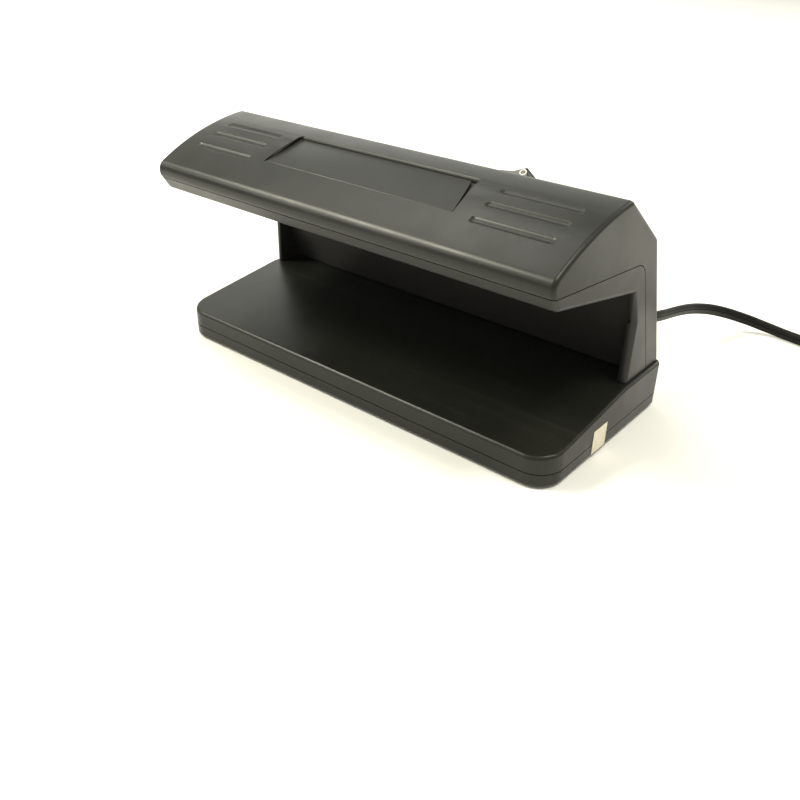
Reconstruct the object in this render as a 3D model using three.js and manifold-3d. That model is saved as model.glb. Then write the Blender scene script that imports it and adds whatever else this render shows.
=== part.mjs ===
// Desk-top ultraviolet bill detector: a C-shaped head with the lamp, standing on a wedge-shaped base.
// Millimetres. Inside the root group X runs along the length, Y from the base's front edge to the back,
// Z up from the underside of the lower shell; the root group moves that to the part's own frame.
import * as THREE from 'three';
import { mergeVertices } from 'three/addons/utils/BufferGeometryUtils.js';
import Module from 'manifold-3d';

const wasm = await Module();
wasm.setup();

// ---- base ----
const BASE_L = 181;
const BASE_D = 79.2;
const BASE_R = 10;
const BASE_BACK_R = 2.6;
const BASE_EDGE = 1.2;
const WALL = 2;
const PART_Z = 4.7;
const TOP_BACK_Z = 18;
const TOP_FRONT_Z = 11.3;
const KINK_Y = 51;
const TOP_SLOPE = (TOP_BACK_Z - TOP_FRONT_Z) / KINK_Y;
const GAP = 0.3;
const FLOOR_T = 1.8;
const FOOT_R = 5;
const FOOT_H = 1;
const FOOT_X = 78;
const FOOT_Y = { front: 11, back: 68 };

// ---- head ----
const HEAD_L = 178;
const HEAD_X = HEAD_L / 2;
const HEAD_FOOT_Z = TOP_BACK_Z + GAP;
const END_ROUND = 1.5;
const SKIN_T = 2.2;
const SKIN_ARC = { y: 44.9, z: -14, r: 102.5 };
const LIP_ARC = { y: -2.6, z: 71.83, r: 4.4 };
const RIDGE = { y: 36.4, z: 88.15 };
const BACK_CORNER = { y: 59.3, z: 70.35 };
const BACK_LEAN = 0.367;
const LIP_PART_Z = 69.2;
const PART_CORNER = { y: 51.7, z: 63.8, r: 7.5 };
const RIM_START = { y: -1.4, z: 64.6 };
const RIM_CORNER = { y: 47.9, z: 54.2 };
const GUSSET_Y = 52.3;
const GUSSET_Z = 41.3;
const GUSSET_T = 3.3;
const RIM_T = 1.9;
const RECESS = 3;
const RIM_SLOPE = (RIM_CORNER.z - RIM_START.z) / (RIM_CORNER.y - RIM_START.y);
const WALL_LEAN = (GUSSET_Y - RIM_CORNER.y) / (RIM_CORNER.z - GUSSET_Z);
const PANEL_T = 2;

// ---- label pocket and grooves on top ----
const LABEL_X = 43;
const LABEL_Y = [7.2, 26.6];
const LABEL_DROP = [0.15, 0.8];
const LABEL_CUT_X = 39.3;
const LABEL_T = 0.6;
const GROOVE_X = [49.8, 80.2];
const GROOVE_Y = [5.8, 14, 22.1];
const GROOVE_W = 3;
const GROOVE_DEPTH = 0.45;

// ---- lamp ----
const TUBE = { y: 21, z: 70.2, r: 7.9 };
const TUBE_HALF = 67;
const CAP_LEN = 5.5;
const CAP_R = 8.1;
const PIN_R = 1.175;
const PIN_PITCH = 4.75;
const PIN_LEN = 6.6;
const HOLDER_X = [68, 80];
const WINDOW_X = 67.6;
const WINDOW_Y = [9, 33];

// ---- rocker switch, on the back slope ----
const SWITCH_X = 41.3;
const SWITCH_Y = 44.9;
const BEZEL = { x: 7.8, y: 5.5, h: 1.3 };
const WINDOW = { x: 6.85, y: 4.45, h: 0.8 };
const HOUSING = { x: 7.05, y: 4.8, depth: 10 };
const CAVITY = { x: 6.45, y: 4.2, depth: 4.5 };
const ROCKER = { half: 6.1, halfWidth: 3.9, foot: 2.4 };
const ROCKER_TOP = [[5.55, 3.5], [5.3, 3.95], [4.9, 3.98], [3.2, 3.75], [1.6, 3.5], [0.6, 3.3]];
const ROCKER_MIDDLE = [0, 3.2];
const ROCKER_TILT = 16;
const TAB_X = 4.5;

// ---- wiring and cord ----
const WIRE_R = 0.85;
const CORD_W = 4.9;
const CORD_T = 3;
const BUSH_X = 76;
const BUSH_Z = 24.2;
const BUSH_END = 15;
const COIL = { x: 169, y: 114, inner: 18.7, outer: 30.9, h: 9.8 };
const PLUG = { x: 210, y: 91, z: 7 };

// ---- moving the modelling frame to the part's frame ----
const FRONT_Y = LIP_ARC.y - LIP_ARC.r;
const SEAL_GAP = 0.05;
const SEAL_T = 0.15;
const SHIFT_X = -(SEAL_GAP + SEAL_T) / 2;
const SHIFT_Y = -(FRONT_Y + BASE_D) / 2;

const PLASTIC = new THREE.Color(0.045, 0.046, 0.043);
const STEEL = 0x8a8c90;
const CORD_BLACK = 0x1d1d1d;
const root = new THREE.Group();
root.name = 'bill_detector';
const frame = new THREE.Group();
frame.name = 'modelling_frame';
frame.position.set(SHIFT_X, SHIFT_Y, FOOT_H);
root.add(frame);

// ---- general helpers ----
function addNode(name, geometry, color, roughness, metalness = 0) {
  const material = new THREE.MeshStandardMaterial({ color, roughness, metalness });
  const mesh = new THREE.Mesh(geometry, material);
  mesh.name = name;
  frame.add(mesh);
  return mesh;
}

function toSolid(geometry) {
  const bare = geometry.clone();
  bare.deleteAttribute('normal');
  bare.deleteAttribute('uv');
  const welded = mergeVertices(bare, 1e-4);
  const mesh = new wasm.Mesh({
    numProp: 3,
    vertProperties: new Float32Array(welded.attributes.position.array),
    triVerts: new Uint32Array(welded.index.array),
  });
  return new wasm.Manifold(mesh);
}

function toGeometry(solid) {
  const mesh = solid.getMesh();
  const geometry = new THREE.BufferGeometry();
  geometry.setAttribute('position', new THREE.BufferAttribute(new Float32Array(mesh.vertProperties), 3));
  geometry.setIndex(new THREE.BufferAttribute(new Uint32Array(mesh.triVerts), 1));
  geometry.computeVertexNormals();
  return geometry;
}

function shapeOf(points) {
  return new THREE.Shape(points.map(([u, v]) => new THREE.Vector2(u, v)));
}

function arc(cx, cy, r, from, to, steps) {
  const points = [];
  for (let i = 0; i <= steps; i += 1) {
    const a = from + ((to - from) * i) / steps;
    points.push([cx + r * Math.cos(a), cy + r * Math.sin(a)]);
  }
  return points;
}

// Rounds the sharp corner b between a and c.
function fillet(a, b, c, r, steps) {
  const u = new THREE.Vector2(a[0] - b[0], a[1] - b[1]).normalize();
  const v = new THREE.Vector2(c[0] - b[0], c[1] - b[1]).normalize();
  const half = Math.acos(u.dot(v)) / 2;
  const reach = r / Math.tan(half);
  const centre = u.clone().add(v).normalize().multiplyScalar(r / Math.sin(half));
  const start = u.clone().multiplyScalar(reach).sub(centre);
  const end = v.clone().multiplyScalar(reach).sub(centre);
  const turn = Math.atan2(start.cross(end), start.dot(end));
  const first = Math.atan2(start.y, start.x);
  return arc(b[0] + centre.x, b[1] + centre.y, r, first, first + turn, steps);
}

// Moves an open polyline sideways by d, to the left of its direction.
function offsetPath(points, d) {
  return points.map((p, i) => {
    const before = points[Math.max(i - 1, 0)];
    const after = points[Math.min(i + 1, points.length - 1)];
    const n1 = new THREE.Vector2(-(p[1] - before[1]), p[0] - before[0]).normalize();
    const n2 = new THREE.Vector2(-(after[1] - p[1]), after[0] - p[0]).normalize();
    const n = i === 0 ? n2 : i === points.length - 1 ? n1 : n1.clone().add(n2).normalize();
    const scale = i === 0 || i === points.length - 1 ? 1 : n.dot(n1);
    return [p[0] + (n.x * d) / scale, p[1] + (n.y * d) / scale];
  });
}

function extrude(shape, depth, bevel, segments, curveSegments = 6) {
  return new THREE.ExtrudeGeometry(shape, {
    depth: depth - 2 * bevel,
    bevelEnabled: bevel > 0,
    bevelSize: bevel,
    bevelThickness: bevel,
    bevelOffset: -bevel,
    bevelSegments: segments,
    curveSegments,
  }).translate(0, 0, bevel);
}

// A Y-Z outline carried along X from x0 to x1.
function alongX(points, x0, x1, bevel = 0) {
  const geometry = extrude(shapeOf(points), x1 - x0, bevel, 3);
  const yz = new THREE.Matrix4().makeBasis(
    new THREE.Vector3(0, 1, 0),
    new THREE.Vector3(0, 0, 1),
    new THREE.Vector3(1, 0, 0),
  );
  geometry.applyMatrix4(yz);
  return toSolid(geometry.translate(x0, 0, 0));
}

// An X-Y outline carried up Z from z0 to z1.
function alongZ(shape, z0, z1, bevel = 0, segments = 3) {
  return toSolid(extrude(shape, z1 - z0, bevel, segments).translate(0, 0, z0));
}

function box(x0, x1, y0, y1, z0, z1) {
  const geometry = new THREE.BoxGeometry(x1 - x0, y1 - y0, z1 - z0);
  return toSolid(geometry.translate((x0 + x1) / 2, (y0 + y1) / 2, (z0 + z1) / 2));
}

function post(x, y, r, z0, z1, sides = 14) {
  const geometry = new THREE.CylinderGeometry(r, r, z1 - z0, sides).rotateX(Math.PI / 2);
  return toSolid(geometry.translate(x, y, (z0 + z1) / 2));
}

// A round bar along X.
function bar(x0, x1, y, z, r, sides = 24) {
  const geometry = new THREE.CylinderGeometry(r, r, x1 - x0, sides).rotateZ(Math.PI / 2);
  return toSolid(geometry.translate((x0 + x1) / 2, y, z));
}

function roundedRect(halfX, halfY, r, backR = r) {
  const shape = new THREE.Shape();
  shape.moveTo(halfX, -halfY + r);
  shape.lineTo(halfX, halfY - backR);
  shape.absarc(halfX - backR, halfY - backR, backR, 0, Math.PI / 2);
  shape.lineTo(-halfX + backR, halfY);
  shape.absarc(-halfX + backR, halfY - backR, backR, Math.PI / 2, Math.PI);
  shape.lineTo(-halfX, -halfY + r);
  shape.absarc(-halfX + r, -halfY + r, r, Math.PI, 1.5 * Math.PI);
  shape.lineTo(halfX - r, -halfY);
  shape.absarc(halfX - r, -halfY + r, r, 1.5 * Math.PI, 2 * Math.PI);
  return shape;
}

function tube(points, r, sides, steps) {
  const path = new THREE.CatmullRomCurve3(points.map((p) => new THREE.Vector3(...p)));
  const ring = arc(0, 0, r, 0, 2 * Math.PI, sides).slice(0, sides);
  return new THREE.ExtrudeGeometry(shapeOf(ring), { steps, extrudePath: path, bevelEnabled: false });
}

// ---- outlines of the head in the Y-Z plane ----
const skinZ = (y) => SKIN_ARC.z + Math.sqrt(SKIN_ARC.r ** 2 - (y - SKIN_ARC.y) ** 2);
const backY = (z) => BACK_CORNER.y + BACK_LEAN * (BACK_CORNER.z - z);
const rimZ = (y) => RIM_START.z + RIM_SLOPE * (y - RIM_START.y);
const wallY = (z) => RIM_CORNER.y + WALL_LEAN * (RIM_CORNER.z - z) + RECESS;
const partY = (z) => PART_CORNER.y + BACK_LEAN * (PART_CORNER.z - z);
const BELOW = 12;

// From the back's foot, up over the ridge and forward to the lip's parting line.
function outerPath() {
  const foot = [backY(BELOW), BELOW];
  const corner = [BACK_CORNER.y, BACK_CORNER.z];
  const ridge = [RIDGE.y, RIDGE.z];
  return [
    foot,
    ...fillet(foot, corner, ridge, 2, 3),
    ...fillet(corner, ridge, [RIDGE.y - 4, skinZ(RIDGE.y - 4)], 2.4, 4),
    ...frontPath(),
  ];
}

// From just in front of the ridge, over the top skin and round the lip.
function frontPath() {
  const y0 = RIDGE.y - 2.5;
  const skinFrom = Math.atan2(skinZ(y0) - SKIN_ARC.z, y0 - SKIN_ARC.y);
  const skinTo = Math.atan2(LIP_ARC.z - SKIN_ARC.z, LIP_ARC.y - SKIN_ARC.y);
  const lipTo = Math.PI + Math.asin((LIP_ARC.z - LIP_PART_Z) / LIP_ARC.r);
  return [
    ...arc(SKIN_ARC.y, SKIN_ARC.z, SKIN_ARC.r, skinFrom, skinTo, 12),
    ...arc(LIP_ARC.y, LIP_ARC.z, LIP_ARC.r, skinTo, lipTo, 7).slice(1),
  ];
}

// The same run set inwards by d, closed down to the foot: the room inside the skin.
function insideOutline(d) {
  const sharp = [
    [backY(BELOW), BELOW],
    [BACK_CORNER.y, BACK_CORNER.z],
    [RIDGE.y, RIDGE.z],
    ...frontPath(),
  ];
  const line = offsetPath(sharp, d);
  return [...line, [line.at(-1)[0], 4], [line[0][0], 4]];
}

function headOutline() {
  return [
    ...outerPath(),
    ...fillet([-6.1, 69], [-2.9, 64.4], [RIM_CORNER.y, RIM_CORNER.z], 1.8, 3),
    [RIM_CORNER.y, RIM_CORNER.z],
    [GUSSET_Y, GUSSET_Z],
    [GUSSET_Y, BELOW],
  ];
}

// The seam between the outer cover and the inner shell, from the lip back and down.
function partingPath() {
  const slope = (PART_CORNER.z - LIP_PART_Z) / (PART_CORNER.y + 6);
  const start = [-14, LIP_PART_Z - 8 * slope];
  const corner = [PART_CORNER.y, PART_CORNER.z];
  const end = [partY(5), 5];
  return [start, ...fillet(start, corner, end, PART_CORNER.r, 6), end];
}

function headBlock() {
  const block = alongX(headOutline(), -HEAD_X, HEAD_X, END_ROUND);
  return block.intersect(box(-100, 100, -20, 90, HEAD_FOOT_Z, 100));
}

// ---- switch frame: X along the length, Y down the back slope, Z out of it ----
const SLOPE_ANGLE = Math.atan2(RIDGE.z - BACK_CORNER.z, BACK_CORNER.y - RIDGE.y);
const SWITCH_Z = RIDGE.z - Math.tan(SLOPE_ANGLE) * (SWITCH_Y - RIDGE.y);
const SWITCH_POSE = new THREE.Matrix4()
  .makeTranslation(SWITCH_X, SWITCH_Y, SWITCH_Z)
  .multiply(new THREE.Matrix4().makeRotationX(-SLOPE_ANGLE));

function onSlope(geometry) {
  return toSolid(geometry.applyMatrix4(SWITCH_POSE));
}

function slopeBlock(halfX, halfY, h0, h1, r = 0.6) {
  return onSlope(extrude(roundedRect(halfX, halfY, r), h1 - h0, 0, 1, 2).translate(0, 0, h0));
}

// ---- gland frame: Z along the cord where it leaves the back ----
const GLAND_POSE = new THREE.Matrix4()
  .makeTranslation(BUSH_X, backY(BUSH_Z), BUSH_Z)
  .multiply(new THREE.Matrix4().makeRotationX(-Math.PI / 2));

function glandCylinder(r, t0, t1) {
  const geometry = new THREE.CylinderGeometry(r, r, t1 - t0, 24).rotateX(Math.PI / 2);
  return toSolid(geometry.translate(0, 0, (t0 + t1) / 2).applyMatrix4(GLAND_POSE));
}

// ---- top details ----
const labelZ = (y) => {
  const low = skinZ(LABEL_Y[0]) - LABEL_DROP[0];
  const high = skinZ(LABEL_Y[1]) - LABEL_DROP[1];
  return low + ((high - low) * (y - LABEL_Y[0])) / (LABEL_Y[1] - LABEL_Y[0]);
};

function labelPlan(inset, rightBack) {
  const front = LABEL_Y[0] + inset;
  const back = LABEL_Y[1] + 1.4 - inset;
  return shapeOf([
    [-LABEL_X + inset, front],
    [LABEL_X - inset, front],
    [rightBack, back],
    [-LABEL_X + 2 + inset, back],
    [-LABEL_X + inset, back - 2.4],
  ]);
}

// The space the label sits in: sloping floor, raked back wall.
function labelPocket() {
  const depth = LABEL_T + 0.3;
  const side = alongX(
    [
      [LABEL_Y[0], 100],
      [LABEL_Y[0], labelZ(LABEL_Y[0]) - depth],
      [LABEL_Y[1] - 0.4, labelZ(LABEL_Y[1] - 0.4) - depth],
      [LABEL_Y[1] - 0.3, labelZ(LABEL_Y[1] - 0.3)],
      [LABEL_Y[1] + 0.9, labelZ(LABEL_Y[1]) + 1.8],
      [LABEL_Y[1] + 0.9, 100],
    ],
    -LABEL_X - 1,
    LABEL_X + 1,
  );
  return side.intersect(alongZ(labelPlan(0, LABEL_CUT_X), 70, 95));
}

function labelPad() {
  const low = labelZ(LABEL_Y[0] - 2) - 1.9;
  const high = labelZ(LABEL_Y[1] + 2) - 1.9;
  const y0 = LABEL_Y[0] - 2;
  const y1 = LABEL_Y[1] + 2;
  const side = [[y0, low], [y1, high], [y1, skinZ(y1) - 1], [y0, skinZ(y0) - 1]];
  return alongX(side, -LABEL_X - 2, LABEL_X + 2);
}

function groove(side, y) {
  const r = (GROOVE_W ** 2 / 4 + GROOVE_DEPTH ** 2) / (2 * GROOVE_DEPTH);
  const length = GROOVE_X[1] - GROOVE_X[0] - GROOVE_W;
  const capsule = new THREE.CapsuleGeometry(r, length, 4, 28).rotateZ(Math.PI / 2);
  const mid = (side * (GROOVE_X[0] + GROOVE_X[1])) / 2;
  return toSolid(capsule.translate(mid, y, skinZ(y) + r - GROOVE_DEPTH));
}

// ---- outer cover: top skin, back and upper end walls ----
const COVER_SCREW = { x: 62, y: 45 };

function outerCover() {
  const seam = offsetPath(partingPath(), GAP / 2);
  const above = alongX([...seam, [100, 5], [100, 100], [-14, 100]], -100, 100);
  const cavity = alongX(insideOutline(SKIN_T), -HEAD_X + SKIN_T, HEAD_X - SKIN_T);
  let cover = headBlock().intersect(above).subtract(cavity);
  cover = cover.add(labelPad().intersect(coreOfCover()));
  for (const side of [-1, 1]) {
    const boss = post(side * COVER_SCREW.x, COVER_SCREW.y, 3.4, panelTop(COVER_SCREW.y) + GAP + 0.8, 84);
    cover = cover.add(boss.intersect(coreOfCover()));
  }
  cover = cover.add(glandCylinder(5.4, -3, 2.4));
  cover = cover.subtract(labelPocket());
  for (const side of [-1, 1]) {
    for (const y of GROOVE_Y) cover = cover.subtract(groove(side, y));
    cover = cover.subtract(post(side * COVER_SCREW.x, COVER_SCREW.y, 1.65, 50, 74, 10));
  }
  cover = cover.subtract(slopeBlock(HOUSING.x + GAP, HOUSING.y + GAP, -8, 4));
  return cover.subtract(glandCylinder(3.7, -6, 4));
}

// Everything under the outside of the skin, used to trim what stands inside it.
function coreOfCover() {
  return alongX(insideOutline(SKIN_T / 2), -HEAD_X + 1, HEAD_X - 1);
}

// ---- inner shell: lip, underside panel, column front, end rims and gussets ----
const panelZ = (y) => rimZ(y) + RECESS;
const panelTop = (y) => panelZ(y) + PANEL_T;
const PANEL_FRONT_Y = 1.2;
const PANEL_END_Y = 50;

function innerShell() {
  const seam = offsetPath(partingPath(), -GAP / 2);
  const below = alongX([...[...seam].reverse(), [-14, 5]], -100, 100);
  const corner = [PANEL_END_Y, panelZ(PANEL_END_Y)];
  const pocket = [
    [PANEL_FRONT_Y, 50],
    [30, BELOW],
    [wallY(BELOW), BELOW],
    corner,
    [PANEL_FRONT_Y, panelZ(PANEL_FRONT_Y)],
  ];
  const upperPocket = [
    [PANEL_FRONT_Y, 50],
    [30, GUSSET_Z],
    [wallY(GUSSET_Z), GUSSET_Z],
    corner,
    [PANEL_FRONT_Y, panelZ(PANEL_FRONT_Y)],
  ];
  const back = PANEL_END_Y + PANEL_T + 0.2;
  const hollow = [
    [6, panelTop(6)],
    [back, panelTop(back)],
    [wallY(5) + PANEL_T + 0.13, 5],
    [100, 5],
    [100, 90],
    [6, 90],
  ];
  let shell = headBlock().intersect(below);
  shell = shell.subtract(alongX(pocket, -HEAD_X + GUSSET_T, HEAD_X - GUSSET_T));
  shell = shell.subtract(alongX(upperPocket, -HEAD_X + RIM_T, HEAD_X - RIM_T));
  shell = shell.subtract(alongX(hollow, -HEAD_X + WALL, HEAD_X - WALL));
  for (const side of [-1, 1]) shell = shell.add(columnBoss(side));
  shell = shell.subtract(box(-WINDOW_X, WINDOW_X, ...WINDOW_Y, 50, 75));
  for (const side of [-1, 1]) {
    shell = shell.subtract(post(side * COVER_SCREW.x, COVER_SCREW.y, 1.65, 50, 70, 10));
    shell = shell.subtract(post(side * BASE_SCREW.x, BASE_SCREW.back, 1.65, 10, 28.4, 10));
  }
  return shell;
}

function columnBoss(side) {
  const z0 = HEAD_FOOT_Z;
  const z1 = 29;
  const outline = [
    [wallY(z0) + 1, z0],
    [BASE_SCREW.back + 3.4, z0],
    [BASE_SCREW.back + 3.4, z1],
    [wallY(z1) + 1, z1],
  ];
  return alongX(outline, side * BASE_SCREW.x - 4, side * BASE_SCREW.x + 4);
}

// ---- base shells ----
const SCREW_R = 1.3;
const BASE_SCREW = { x: 66, front: 14, back: 68.3, headR: 2.9 };
const BOSS_FOOT_Z = 4.5;
const basePlan = (inset) =>
  roundedRect(BASE_L / 2 - inset, BASE_D / 2 - inset, BASE_R - inset, BASE_BACK_R - inset);

function baseBlock(inset, topZ, bevel) {
  const flat = alongZ(basePlan(inset), -30, topZ, bevel, 2).translate([0, BASE_D / 2, 0]);
  const sloped = extrude(basePlan(inset), topZ + 60, bevel, 2).translate(0, BASE_D / 2, -60);
  const shear = new THREE.Matrix4().makeShear(0, 0, 0, TOP_SLOPE, 0, 0);
  shear.setPosition(0, 0, -TOP_SLOPE * KINK_Y);
  return flat.intersect(toSolid(sloped.applyMatrix4(shear)));
}

function baseUpper() {
  const slab = box(-100, 100, -5, 90, PART_Z + GAP / 2, 40);
  let shell = baseBlock(0, TOP_BACK_Z, BASE_EDGE).intersect(slab);
  const inner = baseBlock(WALL, TOP_BACK_Z - WALL, 0);
  shell = shell.subtract(inner.intersect(box(-100, 100, -5, 90, -5, 40)));
  for (const side of [-1, 1]) {
    const x = side * BASE_SCREW.x;
    shell = shell.add(post(x, BASE_SCREW.front, 3.6, BOSS_FOOT_Z, 12));
    shell = shell.add(post(x, BASE_SCREW.back, 4, BOSS_FOOT_Z, 17));
    shell = shell.subtract(post(x, BASE_SCREW.front, 1.65, 0, 10.4, 10));
    shell = shell.subtract(post(x, BASE_SCREW.back, 1.65, 0, 25, 10));
    shell = shell.subtract(box(...ordered(side * 70.8, side * 85.6), 66.8, 73.6, 14, 20));
  }
  return shell;
}

function baseLower() {
  const top = PART_Z - GAP / 2;
  let tray = alongZ(basePlan(0), 0, 20, 0.6, 2).translate([0, BASE_D / 2, 0]);
  tray = tray.intersect(box(-100, 100, -5, 90, -1, top));
  tray = tray.subtract(alongZ(basePlan(WALL), FLOOR_T, 20).translate([0, BASE_D / 2, 0]));
  for (const side of [-1, 1]) {
    for (const y of [BASE_SCREW.front, BASE_SCREW.back]) {
      const x = side * BASE_SCREW.x;
      tray = tray.add(post(x, y, 5, 1, BOSS_FOOT_Z - GAP));
      tray = tray.subtract(post(x, y, 3.3, -1, 2.1));
      tray = tray.subtract(post(x, y, 1.65, -1, 6, 10));
    }
    for (const y of Object.values(FOOT_Y)) {
      tray = tray.subtract(post(side * FOOT_X, y, FOOT_R + GAP, -1, 0.6, 24));
    }
  }
  return tray;
}

// ---- screws ----
function screw(x, y, headZ, headR, headH, length, shankR) {
  let body = post(x, y, headR, headZ, headZ + headH);
  body = body.add(post(x, y, shankR, headZ + headH - 0.2, headZ + headH + length, 10));
  const slot = box(-headR * 0.62, headR * 0.62, -0.4, 0.4, -0.1, 0.7).translate([x, y, headZ]);
  const cross = box(-0.4, 0.4, -headR * 0.62, headR * 0.62, -0.1, 0.7).translate([x, y, headZ]);
  return body.subtract(slot.add(cross));
}

// ---- lamp parts ----
function tubeGlass() {
  const half = TUBE_HALF - CAP_LEN - GAP;
  return bar(-half, half, TUBE.y, TUBE.z, TUBE.r, 32);
}

function tubeCap(side) {
  const inner = side * (TUBE_HALF - CAP_LEN);
  const outer = side * TUBE_HALF;
  let cap = bar(...ordered(inner, outer), TUBE.y, TUBE.z, CAP_R, 32);
  for (const dy of [-PIN_PITCH / 2, PIN_PITCH / 2]) {
    const tip = outer + side * PIN_LEN;
    cap = cap.add(bar(...ordered(outer - side, tip), TUBE.y + dy, TUBE.z, PIN_R, 12));
  }
  return cap;
}

function ordered(a, b) {
  return a < b ? [a, b] : [b, a];
}

function lampRotor(side) {
  const [x0, x1] = ordered(side * 70, side * 73);
  const disc = bar(x0, x1, TUBE.y, TUBE.z, 5.1, 24);
  return disc.subtract(box(x0 - 1, x1 + 1, TUBE.y - 3.95, TUBE.y + 3.95, TUBE.z - 1.5, TUBE.z + 1.5));
}

function lampHolder(side) {
  const [x0, x1] = ordered(side * HOLDER_X[0], side * HOLDER_X[1]);
  const y0 = TUBE.y - 8.5;
  const y1 = TUBE.y + 8.5;
  const clear = 0.4;
  const outline = [[y0, panelTop(y0) + clear], [y1, panelTop(y1) + clear], [y1, 78.6], [y0, 78.6]];
  let holder = alongX(outline, x0, x1);
  const [a, b] = ordered(side * 69.6, side * 74.2);
  const [c, d] = ordered(side * 67, side * 69.8);
  holder = holder.subtract(bar(a, b, TUBE.y, TUBE.z, 5.5, 24));
  holder = holder.subtract(bar(c, d, TUBE.y, TUBE.z, 4.4, 20));
  const [e, f] = ordered(side * 67, side * 74.2);
  return holder.subtract(box(e, f, TUBE.y - 1.7, TUBE.y + 1.7, 55, TUBE.z));
}

function reflector() {
  const line = [[9.8, 67.9], [13.5, 79.3], [28.5, 79.3], [33.4, 63.4]];
  const up = offsetPath(line, 0.3);
  const down = offsetPath(line, -0.3);
  return alongX([...up, ...down.reverse()].reverse(), -66, 66);
}

// ---- switch ----
// The pin across the rocker, or the blind holes in the bezel that it turns in.
function trunnion(r, halfLength) {
  return onSlope(new THREE.CylinderGeometry(r, r, 2 * halfLength, 12));
}

function switchBody() {
  const ring = extrude(roundedRect(BEZEL.x, BEZEL.y, 1.2), BEZEL.h + 3.9, 0.5, 2, 3);
  const bezel = onSlope(ring.translate(0, 0, -3.9));
  const cap = bezel.intersect(slopeBlock(20, 20, 0.1, 10));
  let body = cap.add(slopeBlock(HOUSING.x, HOUSING.y, -HOUSING.depth, 0.4));
  body = body.subtract(slopeBlock(CAVITY.x, CAVITY.y, -CAVITY.depth, 6));
  body = body.subtract(slopeBlock(WINDOW.x, WINDOW.y, WINDOW.h, 6));
  for (const x of [-TAB_X, TAB_X]) {
    const tab = new THREE.BoxGeometry(0.8, 4, 4.4).translate(x, 0, -HOUSING.depth - 2);
    body = body.add(onSlope(tab));
  }
  return body.subtract(trunnion(1.1, 5));
}

function rocker() {
  const { half, halfWidth, foot } = ROCKER;
  const side = [...arc(0, 0, half, 0.1, 0.5, 3), ...ROCKER_TOP];
  const left = side.map(([u, v]) => [-u, v]).reverse();
  const outline = [...side, ROCKER_MIDDLE, ...left];
  const geometry = extrude(shapeOf([...outline, [-4.6, -foot], [4.6, -foot]]), 2 * halfWidth, 0.35, 2);
  geometry.translate(0, 0, -halfWidth).rotateX(Math.PI / 2);
  geometry.rotateY(THREE.MathUtils.degToRad(-ROCKER_TILT));
  return onSlope(geometry).add(trunnion(0.75, 4.75));
}

// ---- control gear ----
function ballastCore() {
  const block = box(-52, -10, 43, 71, 2.3, 14);
  const windows = box(-44.5, -35, 36, 78, 5, 11.4).add(box(-27, -17.5, 36, 78, 5, 11.4));
  return block.subtract(windows);
}

function ballastWinding() {
  const outer = box(-44.1, -17.9, 40.5, 73.5, 5.3, 11.1);
  return outer.subtract(box(-35.4 - GAP, -26.6 + GAP, 42.7, 71.3, 4, 13));
}

function ballastBracket() {
  const outer = box(-54.9, -7.1, 52, 62, 2.1, 15.3).subtract(box(-54.1, -7.9, 50, 64, 0, 14.5));
  const feet = box(-61, -54.1, 52, 62, 2.1, 2.9).add(box(-7.9, -1, 52, 62, 2.1, 2.9));
  return outer.add(feet);
}

function terminalBlock() {
  let block = box(46, 70, 42, 54, 2.1, 10.5);
  for (const x of [50, 58, 66]) {
    block = block.subtract(post(x, 45.5, 1.8, 5.5, 12, 12));
    block = block.subtract(post(x, 50.5, 1.8, 5.5, 12, 12));
    block = block.subtract(box(x - 1.5, x + 1.5, 40, 56, 3.6, 6.6));
  }
  return block;
}

const STARTER = { x: [-28, -1], y: 44, z: 69, r: 6.8 };

function starterSocket() {
  let socket = box(-40, -28.4, 38, 50, 62, 75.4);
  socket = socket.intersect(alongX([[36, 61.8], [50, 61.8], [50, 73], [45.5, 76], [36, 76]], -50, 0));
  return socket.subtract(bar(-32, -20, STARTER.y, STARTER.z, 2.6, 16));
}

function starterCan() {
  const can = bar(...STARTER.x, STARTER.y, STARTER.z, STARTER.r, 24);
  const stub = bar(-31, STARTER.x[0] + 1, STARTER.y, STARTER.z, 2.2, 12);
  return can.add(stub);
}

// ---- cord and plug ----
const stadium = (halfT, halfW, steps = 4) => [
  ...arc(0, halfW - halfT, halfT, 0, Math.PI, steps),
  ...arc(0, halfT - halfW, halfT, Math.PI, 2 * Math.PI, steps),
];

function bushing() {
  const profile = [
    [0, -5.6], [4.6, -5.6], [4.6, -4], [3.4, -4], [3.4, 2.7], [4.9, 2.7],
    [4.9, 4.2], [4.4, 4.2], [3.9, 9], [3.6, BUSH_END], [0, BUSH_END],
  ];
  const body = new THREE.LatheGeometry(profile.map(([r, t]) => new THREE.Vector2(r, t)), 24);
  const sleeve = toSolid(body.rotateX(Math.PI / 2).applyMatrix4(GLAND_POSE));
  const slot = shapeOf(stadium(CORD_T / 2 + 0.35, CORD_W / 2 + 0.35));
  const bore = extrude(slot, 30, 0, 1).translate(0, 0, -10);
  return sleeve.subtract(toSolid(bore.applyMatrix4(GLAND_POSE)));
}

function glandPoint(t) {
  return new THREE.Vector3(0, 0, t).applyMatrix4(GLAND_POSE).toArray();
}

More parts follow.
